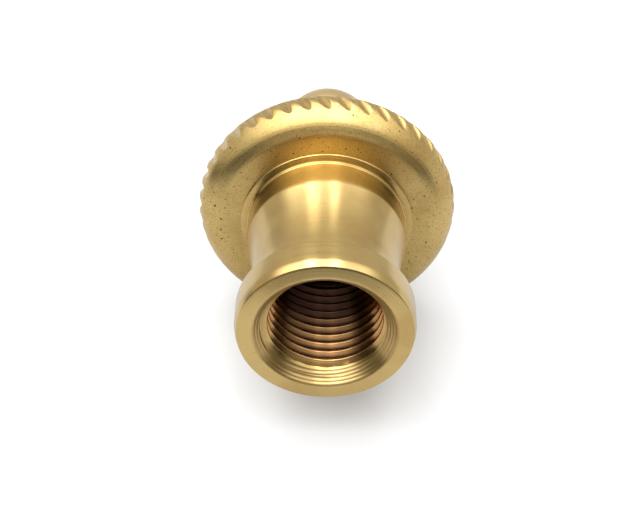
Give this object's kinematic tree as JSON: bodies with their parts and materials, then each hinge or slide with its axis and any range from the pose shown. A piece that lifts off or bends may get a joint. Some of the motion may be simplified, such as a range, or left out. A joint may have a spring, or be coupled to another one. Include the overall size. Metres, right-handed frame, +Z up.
{
  "type": "knurled cap nut",
  "caption": "Brass thumb nut with a waisted threaded sleeve, a thin shoulder ring, a rope-knurled flange for the fingers and a ball knob.",
  "frame": {"origin": "on the screw axis, where the countersink ends and the full thread starts", "axes": "+Y along the screw axis from the mouth to the ball knob, -Y out of the mouth, +X to the right seen from the mouth, +Z up"},
  "size_m": [0.021, 0.0302, 0.021],
  "materials": {
    "turned_brass": "bright turned",
    "ring_brass": "bright turned",
    "cast_brass": "satin, lightly pitted",
    "knob_brass": "satin"
  },
  "bodies": {
    "root": {"threaded_sleeve": "turned_brass", "shoulder_ring": "ring_brass", "knurled_flange": "cast_brass", "ball_knob": "knob_brass"}
  },
  "joints": []
}
